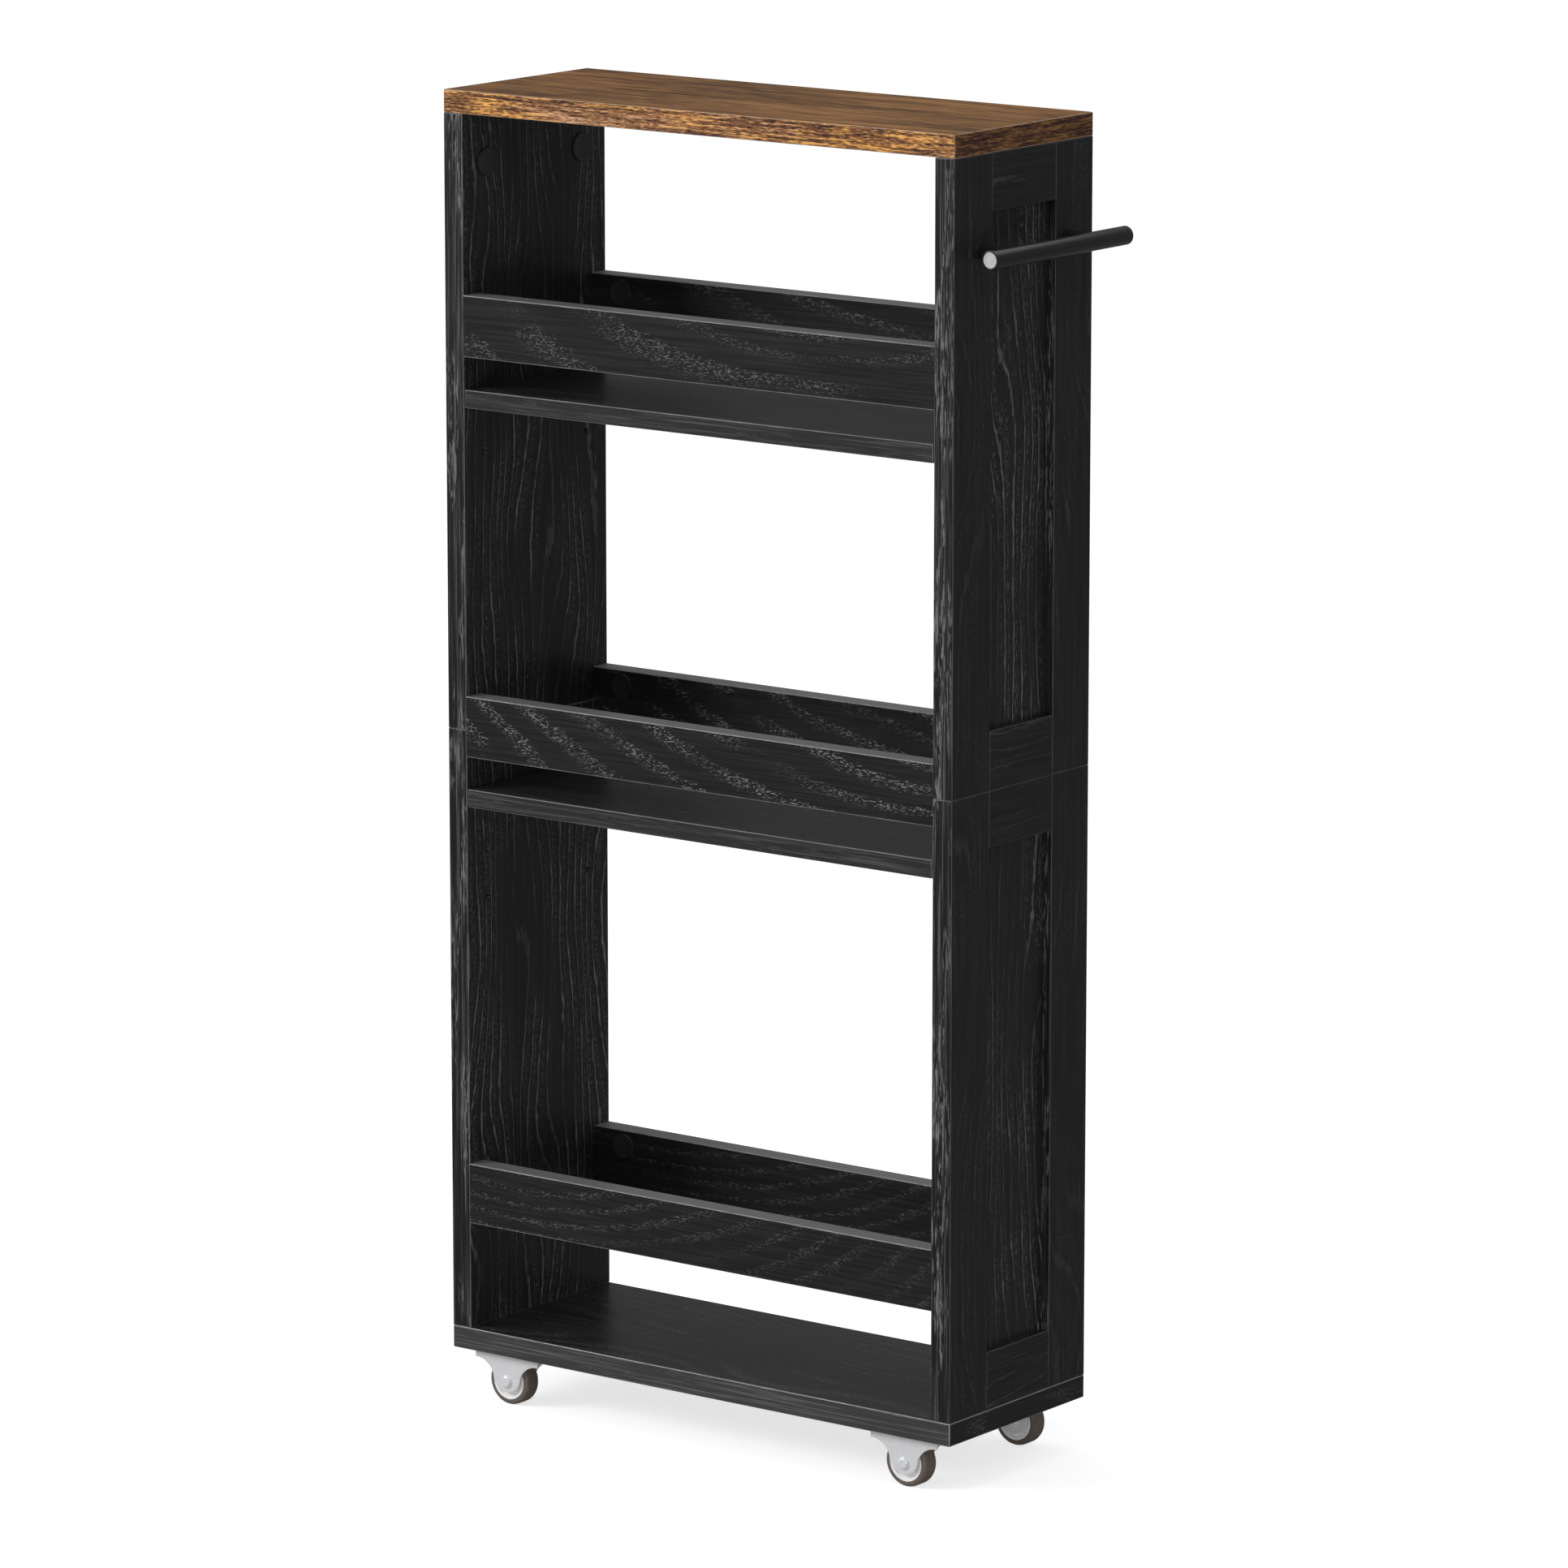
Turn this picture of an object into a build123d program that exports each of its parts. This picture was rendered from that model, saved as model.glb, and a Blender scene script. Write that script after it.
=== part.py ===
"""Rolling pantry cart: three open tiers between two shaker-framed sides, on four small casters.

Millimetres. +X runs along the cart towards the handle, -Y is the front, +Z is up. The origin is on
the floor, under the middle of the whole cart, handle included.
"""

import os

from build123d import *

os.makedirs("parts", exist_ok=True)

# ---------------------------------------------------------------- carcass sizes
cart_width = 402            # across the two sides, without the handle
cart_depth = 148
half_height = 400           # one half of a side, lower or upper
panel_thickness = 15        # top and base boards
side_board = 9              # inner board of a side half
frame_strip = 6             # strips applied to the outside of that board
stile_width = 40
top_strip_height = 36
bottom_strip_height = 38
arris = 0.8                 # rounding on the long edges of every board
strip_arris = 0.6           # rounding on the outer edges of the applied strips
overrun = 1                 # how far a cut runs past the face that it opens

# ---------------------------------------------------------------- shelves and their pins
shelf_thickness = 12
shelf_end_gap = 0.5         # play between a shelf's end and the side
pin_diameter = 4.9
pin_play = 0.05             # radial play of a pin in its hole
pin_in_hole = 7.5
pin_end_room = 0.5          # hole left past a pin's end
pin_reach = 9               # how far a pin stands out of the side
pin_inset = 20.8            # pin line, in from the front and rear edges
pin_pitch = 32
pin_above_shelf_face = 1.5  # pin axis above the shelf's underside, inside the groove
groove_play = 0.25          # radial play of a pin in the shelf's groove
groove_end_room = 2         # groove left past a pin's end
middle_pin_drop = 49.5      # top pin row of the lower half, below the seam
upper_pin_rise = 212        # middle pin row of the upper half, above the seam

# ---------------------------------------------------------------- guard rails
guard_height = 40
guard_thickness = 15
guard_gap = 21              # open gap between an adjustable shelf and its guard rails
lower_guard_gap = 71        # open gap between the base board and the lowest guard rails
guard_fix_offset = 9        # cam above, dowel below the rail's centre line

# ---------------------------------------------------------------- fasteners in the boards
fix_inset = 25              # fastener line, in from the front and rear edges
cam_diameter = 15
cam_depth = 12
cam_play = 0.1              # radial play of a cam in its pocket
cam_driver_diameter = 5
cam_driver_depth = 4
top_cam_drop = 33           # cam centre below the side's upper end
guard_cam_reach = 24        # cam centre in from the guard rail's end
cam_cap_diameter = 19
guard_cap_diameter = 17
cap_thickness = 1.2
cap_peg_play = 0.2          # radial play of a cap's peg in a cam's driver socket
cap_peg_end_room = 1
bolt_diameter = 5
bolt_head_diameter = 7
bolt_head_length = 3.5
bolt_thread_diameter = 7
bolt_thread_length = 11
bolt_play = 0.3             # radial play of a cam bolt's shank in its hole
bolt_head_play = 0.6        # radial play of its head inside the cam
thread_play = 0.05          # radial play between a thread's crest and the hole that holds it
dowel_diameter = 8
dowel_length = 30
dowel_in_face = 11          # depth of a dowel in a board's face
dowel_play = 0.05
dowel_end_room = 0.5
base_screw_diameter = 5
base_screw_length = 48
base_screw_head_diameter = 10
base_screw_head_height = 4
driver_recess_diameter = 4
driver_recess_depth = 2.2

# ---------------------------------------------------------------- handle
handle_drop = 60.3          # bar axis below the underside of the top board
bar_diameter = 12
bar_wall = 1
bar_length = 146
bar_stand_off = 26          # bar axis from the side's outer face
post_diameter = 9
post_spacing = 90
post_thread_depth = 10
plug_length = 8
plug_play = 0.05
plug_arris = 0.4
handle_screw_diameter = 4
handle_screw_grip = 9       # length of screw inside the post
handle_screw_head_diameter = 8
handle_screw_head_height = 2.4
handle_screw_dome = 1.2
handle_driver_diameter = 2.5
handle_driver_depth = 1.4
handle_hole_play = 0.25

# ---------------------------------------------------------------- casters
wheel_diameter = 32
wheel_width = 12.4
wheel_top_gap = 1.4         # between the tyre and the bracket's plate
wheel_side_gap = 1.1        # between the tyre and each leg of the bracket
tyre_thickness = 3.5
hub_boss_diameter = 12
hub_boss_stand = 0.8        # how far the boss stands out past the tyre's side
hub_face_recess = 1.2
hub_rim = 2.2
tyre_shoulder = 2.8
axle_diameter = 5
axle_play = 0.05
rivet_head_diameter = 8
rivet_head_height = 1.7
rivet_dome = 1.4            # rounding of a rivet head's rim
bracket_length = 52
bracket_sheet = 1.2
bracket_edge = 5.5          # straight vertical edge at each end of a leg
bracket_waist_in = 10.4     # the waist's curve passes this far in from the end of a leg
bracket_waist_down = 3.3    # and this far below the leg's straight edge
bracket_lobe_radius = 11.2
bracket_lobe_below_axle = 7.5
caster_inset_x = 40         # caster centre from the end of the base board
caster_setback = 5.8        # bracket behind the front or rear face of the base board
caster_screw_diameter = 3.5
caster_screw_length = 12
caster_screw_head_diameter = 6
caster_screw_head_height = 1.8
caster_driver_diameter = 2
caster_driver_depth = 1.4
caster_screw_spacing_x = 41
caster_screw_side_gap = 0.5 # between a screw's head and the nearer leg
caster_hole_play = 0.2

# ---------------------------------------------------------------- places worked out from the sizes
side_thickness = side_board + frame_strip
pin_hole_diameter = pin_diameter + 2 * pin_play
pin_hole_depth = pin_in_hole + pin_end_room
groove_diameter = pin_diameter + 2 * groove_play
groove_length = pin_reach + groove_end_room
cap_peg_diameter = cam_driver_diameter - 2 * cap_peg_play
cap_peg_length = cam_driver_depth - cap_peg_end_room
bar_bore = bar_diameter - 2 * bar_wall
hub_diameter = wheel_diameter - 2 * tyre_thickness
hub_boss_length = wheel_width + 2 * hub_boss_stand
bracket_width = wheel_width + 2 * (wheel_side_gap + bracket_sheet)
bracket_inner_width = bracket_width - 2 * bracket_sheet
caster_screw_spacing_y = bracket_inner_width - caster_screw_head_diameter - 2 * caster_screw_side_gap

handle_reach = bar_stand_off + bar_diameter / 2
carcass_x = -handle_reach / 2
half_width = cart_width / 2
half_depth = cart_depth / 2
inner_half_width = half_width - side_thickness

base_low = wheel_diameter + wheel_top_gap + bracket_sheet
base_top = base_low + panel_thickness
seam = base_top + half_height
top_low = seam + half_height
top_high = top_low + panel_thickness

middle_pin_z = seam - middle_pin_drop
upper_pin_z = seam + upper_pin_rise
middle_shelf_low = middle_pin_z - pin_above_shelf_face
upper_shelf_low = upper_pin_z - pin_above_shelf_face
guard_lows = {
    "lower": base_top + lower_guard_gap,
    "middle": middle_shelf_low + shelf_thickness + guard_gap,
    "upper": upper_shelf_low + shelf_thickness + guard_gap,
}
pin_y = half_depth - pin_inset
fix_y = half_depth - fix_inset
guard_mid_y = half_depth - guard_thickness / 2
handle_z = top_low - handle_drop
bar_x = carcass_x + half_width + bar_stand_off
axle_z = wheel_diameter / 2
caster_y = half_depth - caster_setback - bracket_width / 2

SIDES = (("left", -1), ("right", 1))
DEPTHS = (("front", -1), ("rear", 1))
UP = (0, 0, 1)


def inner_face_x(side):
    """X of a side's inner face; side is -1 for left and 1 for right."""
    return carcass_x + side * inner_half_width


def side_middle_x(side):
    """X of the middle of a side's thickness."""
    return inner_face_x(side) + side * side_thickness / 2


def rod(seat, diameter, start, end, mode=Mode.ADD):
    """A round rod, or a round hole when subtracted, along the seat's +Z from start to end."""
    with Locations(seat.offset(start)):
        Cylinder(diameter / 2, end - start, align=(Align.CENTER, Align.CENTER, Align.MIN), mode=mode)


def drill(holes):
    """Cut each listed hole (seat, diameter, start, end) from the piece being built."""
    for seat, diameter, start, end in holes:
        rod(seat, diameter, start, end, Mode.SUBTRACT)


def block(low, high, mode=Mode.ADD):
    """A rectangular board between two opposite corners, given in any order."""
    corners = list(zip(low, high))
    with Locations(tuple(min(pair) for pair in corners)):
        Box(*[abs(b - a) for a, b in corners], align=Align.MIN, mode=mode)


def keep(builder, name):
    """Label a finished piece and write it to its own file."""
    builder.part.label = name
    export_step(builder.part, f"parts/{name}.step")


# ---------------------------------------------------------------- where the fasteners sit
# Every seat is a plane: its origin is the fastener's datum and its +Z is the fastener's axis.

# A cam bolt's datum is the centre of its cam, and its axis points at its thread. A cam's datum is
# the middle of its pocket's mouth, and its axis points out of the mouth.
top_bolt_seats, top_cam_seats = [], []
guard_bolt_seats, guard_cam_seats = [], []
dowel_seats = []
for _, side in SIDES:
    for _, depth in DEPTHS:
        cam_z = top_low - top_cam_drop
        top_bolt_seats.append(Plane((side_middle_x(side), depth * fix_y, cam_z), z_dir=UP))
        top_cam_seats.append(Plane((inner_face_x(side), depth * fix_y, cam_z), z_dir=(-side, 0, 0)))
        seam_start = seam - dowel_length / 2
        dowel_seats.append(Plane((side_middle_x(side), depth * fix_y, seam_start), z_dir=UP))
        for guard_low in guard_lows.values():
            guard_mid_z = guard_low + guard_height / 2
            cam_x = inner_face_x(side) - side * guard_cam_reach
            bolt_z = guard_mid_z + guard_fix_offset
            guard_bolt_seats.append(Plane((cam_x, depth * guard_mid_y, bolt_z), z_dir=(side, 0, 0)))
            cam_face_y = depth * (half_depth - guard_thickness)
            guard_cam_seats.append(Plane((cam_x, cam_face_y, bolt_z), z_dir=(0, -depth, 0)))
            dowel_start_x = inner_face_x(side) + side * dowel_in_face
            dowel_z = guard_mid_z - guard_fix_offset
            dowel_seats.append(
                Plane((dowel_start_x, depth * guard_mid_y, dowel_z), z_dir=(-side, 0, 0)))
    dowel_seats.append(Plane((side_middle_x(side), 0, base_top - dowel_in_face), z_dir=UP))
    dowel_seats.append(Plane((side_middle_x(side), 0, top_low + dowel_in_face), z_dir=(0, 0, -1)))

base_screw_seats = [Plane((side_middle_x(side), depth * fix_y, base_low), z_dir=UP)
                    for _, side in SIDES for _, depth in DEPTHS]
handle_screw_seats = [Plane((inner_face_x(1), y, handle_z), z_dir=(1, 0, 0))
                      for y in (-post_spacing / 2, post_spacing / 2)]


def pin_seats(rows):
    """Seats of the shelf pins at the given heights: on the inner faces, pointing inwards."""
    return [Plane((inner_face_x(side), depth * pin_y, z), z_dir=(-side, 0, 0))
            for z in rows for _, side in SIDES for _, depth in DEPTHS]


# ---------------------------------------------------------------- holes for those fasteners
cam_seats = top_cam_seats + guard_cam_seats
holes = [(seat, cam_diameter + 2 * cam_play, -cam_depth - cam_play, overrun) for seat in cam_seats]
for seats, shank in ((top_bolt_seats, top_cam_drop), (guard_bolt_seats, guard_cam_reach)):
    thread_end = shank + bolt_thread_length + bolt_play
    holes += [(seat, bolt_diameter + 2 * bolt_play, 0, shank) for seat in seats]
    holes += [(seat, bolt_thread_diameter + 2 * thread_play, shank, thread_end) for seat in seats]
holes += [(seat, dowel_diameter + 2 * dowel_play, -dowel_end_room, dowel_length + dowel_end_room)
          for seat in dowel_seats]
holes += [(seat, base_screw_diameter + 2 * thread_play, 0, base_screw_length + dowel_end_room)
          for seat in base_screw_seats]
holes += [(seat, handle_screw_diameter + 2 * handle_hole_play, -overrun, side_thickness + overrun)
          for seat in handle_screw_seats]
pin_rows = [middle_pin_z - row * pin_pitch for row in range(3)]
pin_rows += [upper_pin_z + row * pin_pitch for row in (-1, 0, 1)]
holes += [(seat, pin_hole_diameter, -pin_hole_depth, overrun) for seat in pin_seats(pin_rows)]


def holes_near(low, high):
    """The holes whose own box meets the box of a board, so that a board is cut only by those."""
    chosen = []
    for seat, diameter, start, end in holes:
        ends = [seat.origin + seat.z_dir * distance for distance in (start, end)]
        radius = diameter / 2
        spans = zip(tuple(ends[0]), tuple(ends[1]), low, high)
        if all(min(a, b) - radius < top and max(a, b) + radius > bottom for a, b, bottom, top in spans):
            chosen.append((seat, diameter, start, end))
    return chosen


# ---------------------------------------------------------------- top board
top_corners = ((carcass_x - half_width, -half_depth, top_low),
               (carcass_x + half_width, half_depth, top_high))
with BuildPart() as top_panel:
    block(*top_corners)
    fillet(top_panel.edges(), arris)
    drill(holes_near(*top_corners))
keep(top_panel, "top_panel")

# ---------------------------------------------------------------- base board
# Each side stands on it. The screws that hold the sides come up through countersunk holes, and the
# caster screws go into pilot holes in its underside.
caster_places = [(f"{depth_name}_{side_name}", carcass_x + side * (half_width - caster_inset_x),
                  depth * caster_y)
                 for depth_name, depth in DEPTHS for side_name, side in SIDES]
caster_screw_seats = [
    Plane((x + step_x * caster_screw_spacing_x / 2, y + step_y * caster_screw_spacing_y / 2,
           base_low - bracket_sheet), z_dir=UP)
    for _, x, y in caster_places for step_x in (-1, 1) for step_y in (-1, 1)]
base_corners = ((carcass_x - half_width, -half_depth, base_low),
                (carcass_x + half_width, half_depth, base_top))
with BuildPart() as base_panel:
    block(*base_corners)
    fillet(base_panel.edges(), arris)
    drill(holes_near(*base_corners))
    for seat in base_screw_seats:
        with Locations(seat):
            Cone(base_screw_head_diameter / 2 + thread_play, base_screw_diameter / 2 + thread_play,
                 base_screw_head_height, align=(Align.CENTER, Align.CENTER, Align.MIN),
                 mode=Mode.SUBTRACT)
    for seat in caster_screw_seats:
        rod(seat, caster_screw_diameter + 2 * thread_play, 0, caster_screw_length + thread_play,
            Mode.SUBTRACT)
keep(base_panel, "base_panel")


# ---------------------------------------------------------------- sides
def build_half(name, side, half_low):
    """One half of a side: an inner board with a frame of two stiles and two strips outside it."""
    half_high = half_low + half_height
    inner_x = inner_face_x(side)
    frame_x = inner_x + side * side_board
    outer_x = frame_x + side * frame_strip
    recess_half = half_depth - stile_width

    with BuildPart() as board:
        corners = ((min(inner_x, frame_x), -half_depth, half_low),
                   (max(inner_x, frame_x), half_depth, half_high))
        block(*corners)
        ends = board.edges().filter_by(Axis.X)
        inner_edges = board.faces().sort_by(Axis.X)[-1 if side < 0 else 0].edges()
        fillet(ends + inner_edges, arris)
        drill(holes_near(*corners))
    keep(board, f"{name}_board")

    for depth_name, depth in DEPTHS:
        with BuildPart() as stile:
            low_y, high_y = sorted((depth * recess_half, depth * half_depth))
            corners = ((min(frame_x, outer_x), low_y, half_low),
                       (max(frame_x, outer_x), high_y, half_high))
            block(*corners)
            ends = stile.edges().filter_by(Axis.X).group_by(Axis.Y)[0 if depth < 0 else -1]
            outer_edges = stile.faces().sort_by(Axis.X)[0 if side < 0 else -1].edges()
            fillet(ends + outer_edges, strip_arris)
            drill(holes_near(*corners))
        keep(stile, f"{name}_{depth_name}_stile")

    for strip_name, low_z, high_z in (("top", half_high - top_strip_height, half_high),
                                      ("bottom", half_low, half_low + bottom_strip_height)):
        with BuildPart() as strip:
            corners = ((min(frame_x, outer_x), -recess_half, low_z),
                       (max(frame_x, outer_x), recess_half, high_z))
            block(*corners)
            outer_edges = strip.faces().sort_by(Axis.X)[0 if side < 0 else -1].edges()
            fillet(outer_edges, strip_arris)
            drill(holes_near(*corners))
        keep(strip, f"{name}_{strip_name}_strip")


for side_name, side in SIDES:
    build_half(f"{side_name}_lower", side, base_top)
    build_half(f"{side_name}_upper", side, seam)

# ---------------------------------------------------------------- guard rails
for tier_name, guard_low in guard_lows.items():
    for depth_name, depth in DEPTHS:
        with BuildPart() as guard:
            low_y, high_y = sorted((depth * half_depth, depth * (half_depth - guard_thickness)))
            corners = ((inner_face_x(-1), low_y, guard_low),
                       (inner_face_x(1), high_y, guard_low + guard_height))
            block(*corners)
            fillet(guard.edges().filter_by(Axis.X), arris)
            drill(holes_near(*corners))
        keep(guard, f"{tier_name}_{depth_name}_guard")


# ---------------------------------------------------------------- adjustable shelves and their pins
def build_shelf(name, shelf_low, pin_z):
    """A loose shelf with four blind grooves in its underside that drop over the pins."""
    with BuildPart() as shelf:
        block((inner_face_x(-1) + shelf_end_gap, -half_depth, shelf_low),
              (inner_face_x(1) - shelf_end_gap, half_depth, shelf_low + shelf_thickness))
        fillet(shelf.edges(), arris)
        for seat in pin_seats([pin_z]):
            rod(seat, groove_diameter, 0, groove_length, Mode.SUBTRACT)
            groove_end = seat.origin + seat.z_dir * groove_length
            block((seat.origin.X, seat.origin.Y - groove_diameter / 2, shelf_low - overrun),
                  (groove_end.X, seat.origin.Y + groove_diameter / 2, pin_z), Mode.SUBTRACT)
    keep(shelf, f"{name}_shelf")

    with BuildPart() as pins:
        for seat in pin_seats([pin_z]):
            rod(seat, pin_diameter, -pin_in_hole, pin_reach)
        chamfer(pins.edges().filter_by(GeomType.CIRCLE), arris)
    keep(pins, f"{name}_shelf_pins")


build_shelf("middle", middle_shelf_low, middle_pin_z)
build_shelf("upper", upper_shelf_low, upper_pin_z)

# ---------------------------------------------------------------- cam locks, bolts, caps and dowels
with BuildPart() as cam_locks:
    for seat in cam_seats:
        rod(seat, cam_diameter, -cam_depth, 0)
        rod(seat, cam_driver_diameter, -cam_driver_depth, 0, Mode.SUBTRACT)
    for seat in top_bolt_seats + guard_bolt_seats:
        rod(seat, bolt_head_diameter + 2 * bolt_head_play, -bolt_head_length, cam_diameter,
            Mode.SUBTRACT)
keep(cam_locks, "cam_locks")

with BuildPart() as cam_bolts:
    for seats, shank in ((top_bolt_seats, top_cam_drop), (guard_bolt_seats, guard_cam_reach)):
        for seat in seats:
            rod(seat, bolt_head_diameter, -bolt_head_length / 2, bolt_head_length / 2)
            rod(seat, bolt_diameter, 0, shank)
            rod(seat, bolt_thread_diameter, shank, shank + bolt_thread_length)
keep(cam_bolts, "cam_bolts")


def build_caps(name, seats, diameter):
    """Thin round covers that plug into the cams' driver sockets and hide the cam pockets."""
    with BuildPart() as caps:
        for seat in seats:
            rod(seat, diameter, 0, cap_thickness)
            rod(seat, cap_peg_diameter, -cap_peg_length, 0)
        crowns = [seat.offset(cap_thickness).origin for seat in seats]
        rims = [edge for edge in caps.edges().filter_by(GeomType.CIRCLE)
                if min((edge.arc_center - crown).length for crown in crowns) < cap_thickness / 10]
        fillet(rims, cap_thickness / 2)
    keep(caps, name)


build_caps("cam_caps", top_cam_seats, cam_cap_diameter)
build_caps("guard_cam_caps", guard_cam_seats, guard_cap_diameter)

with BuildPart() as wooden_dowels:
    for seat in dowel_seats:
        rod(seat, dowel_diameter, 0, dowel_length)
    chamfer(wooden_dowels.edges().filter_by(GeomType.CIRCLE), arris)
keep(wooden_dowels, "wooden_dowels")

with BuildPart() as base_screws:
    for seat in base_screw_seats:
        rod(seat, base_screw_diameter, 0, base_screw_length)
        with Locations(seat):
            Cone(base_screw_head_diameter / 2, base_screw_diameter / 2, base_screw_head_height,
                 align=(Align.CENTER, Align.CENTER, Align.MIN))
        rod(seat, driver_recess_diameter, 0, driver_recess_depth, Mode.SUBTRACT)
keep(base_screws, "base_screws")

# ---------------------------------------------------------------- handle
bar_seat = Plane((bar_x, -bar_length / 2, handle_z), z_dir=(0, 1, 0))
with BuildPart() as handle_bar:
    rod(bar_seat, bar_diameter, 0, bar_length)
    fillet(handle_bar.edges().filter_by(GeomType.CIRCLE), plug_arris)
    rod(bar_seat, bar_bore, 0, bar_length, Mode.SUBTRACT)
keep(handle_bar, "handle_bar")

with BuildPart() as handle_posts:
    for seat in handle_screw_seats:
        rod(seat, post_diameter, side_thickness, side_thickness + bar_stand_off)
    rod(bar_seat, bar_diameter, 0, bar_length, Mode.SUBTRACT)
    for seat in handle_screw_seats:
        rod(seat, handle_screw_diameter + 2 * thread_play, side_thickness,
            side_thickness + post_thread_depth, Mode.SUBTRACT)
keep(handle_posts, "handle_posts")

with BuildPart() as handle_plugs:
    for start in (0, bar_length - plug_length):
        rod(bar_seat, bar_bore - 2 * plug_play, start, start + plug_length)
    chamfer(handle_plugs.edges().filter_by(GeomType.CIRCLE), plug_arris)
keep(handle_plugs, "handle_plugs")

with BuildPart() as handle_screws:
    for seat in handle_screw_seats:
        rod(seat, handle_screw_head_diameter, -handle_screw_head_height, 0)
    fillet(handle_screws.faces().sort_by(Axis.X)[:2].edges(), handle_screw_dome)
    for seat in handle_screw_seats:
        rod(seat, handle_driver_diameter, -handle_screw_head_height,
            handle_driver_depth - handle_screw_head_height, Mode.SUBTRACT)
        rod(seat, handle_screw_diameter, 0, side_thickness + handle_screw_grip)
keep(handle_screws, "handle_screws")


# ---------------------------------------------------------------- casters
def build_bracket(name, x, y):
    """Folded sheet: a flat plate under the base board and two waisted legs that hold the axle."""
    top_z = base_low
    lobe_z = axle_z - bracket_lobe_below_axle + bracket_lobe_radius
    shoulder_z = top_z - bracket_edge
    half_length = bracket_length / 2
    waist = (x - half_length + bracket_waist_in, shoulder_z - bracket_waist_down)
    lobe_start = (x - bracket_lobe_radius, lobe_z)
    with BuildPart() as bracket:
        with BuildSketch(Plane.XZ.offset(-y - bracket_width / 2)):
            with BuildLine():
                Polyline((x, top_z), (x - half_length, top_z), (x - half_length, shoulder_z))
                ThreePointArc((x - half_length, shoulder_z), waist, lobe_start)
                CenterArc((x, lobe_z), bracket_lobe_radius, 180, 90)
                Line((x, lobe_z - bracket_lobe_radius), (x, top_z))
            make_face()
            mirror(about=Plane.YZ.offset(x))
        extrude(amount=bracket_width)
        fold = bracket.edges().filter_by(Axis.X).group_by(Axis.Z)[-1]
        fillet(fold, bracket_sheet)
        block((x - bracket_length, y - bracket_inner_width / 2, 0),
              (x + bracket_length, y + bracket_inner_width / 2, top_z - bracket_sheet), Mode.SUBTRACT)
        rod(Plane((x, y - bracket_width, axle_z), z_dir=(0, 1, 0)), axle_diameter + 2 * axle_play,
            0, 2 * bracket_width, Mode.SUBTRACT)
        for step_x in (-1, 1):
            for step_y in (-1, 1):
                seat = Plane((x + step_x * caster_screw_spacing_x / 2,
                              y + step_y * caster_screw_spacing_y / 2, 0), z_dir=UP)
                rod(seat, caster_screw_diameter + 2 * caster_hole_play, 0, top_z + overrun,
                    Mode.SUBTRACT)
    keep(bracket, f"{name}_bracket")


def build_wheel(name, x, y):
    """A hub that runs on the axle, with recessed faces, and a soft tyre with round shoulders."""
    spin = Plane((x, y, axle_z), z_dir=(0, 1, 0))
    half = wheel_width / 2
    with BuildPart() as wheel:
        rod(spin, hub_diameter, -half, half)
        for start, end in ((-half, -half + hub_face_recess), (half - hub_face_recess, half)):
            rod(spin, hub_diameter - 2 * hub_rim, start, end, Mode.SUBTRACT)
        rod(spin, hub_boss_diameter, -hub_boss_length / 2, hub_boss_length / 2)
        rod(spin, axle_diameter + 2 * axle_play, -wheel_width, wheel_width, Mode.SUBTRACT)
    keep(wheel, f"{name}_wheel")

    with BuildPart() as tyre:
        rod(spin, wheel_diameter, -half, half)
        fillet(tyre.edges().filter_by(GeomType.CIRCLE), tyre_shoulder)
        rod(spin, hub_diameter, -half, half, Mode.SUBTRACT)
    keep(tyre, f"{name}_tyre")


def build_axle(name, x, y):
    """A rivet through both legs of the bracket, with a domed head outside each leg."""
    spin = Plane((x, y, axle_z), z_dir=(0, 1, 0))
    leg = bracket_width / 2
    with BuildPart() as axle:
        for start, end in ((-leg - rivet_head_height, -leg), (leg, leg + rivet_head_height)):
            rod(spin, rivet_head_diameter, start, end)
        rims = axle.edges().filter_by(GeomType.CIRCLE).sort_by(Axis.Y)
        fillet([rims[0], rims[-1]], rivet_dome)
        rod(spin, axle_diameter, -leg, leg)
    keep(axle, f"{name}_axle")


for caster_name, x, y in caster_places:
    build_bracket(caster_name, x, y)
    build_wheel(caster_name, x, y)
    build_axle(caster_name, x, y)

with BuildPart() as caster_screws:
    for seat in caster_screw_seats:
        rod(seat, caster_screw_head_diameter, -caster_screw_head_height, 0)
        rod(seat, caster_driver_diameter, -caster_screw_head_height,
            caster_driver_depth - caster_screw_head_height, Mode.SUBTRACT)
        rod(seat, caster_screw_diameter, 0, caster_screw_length)
keep(caster_screws, "caster_screws")
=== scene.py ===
"""Looks of the rolling pantry cart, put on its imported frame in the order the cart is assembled.

Metres. +X runs along the cart towards the handle, -Y is the front, +Z is up, the floor is Z = 0.
"""

import math

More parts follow.
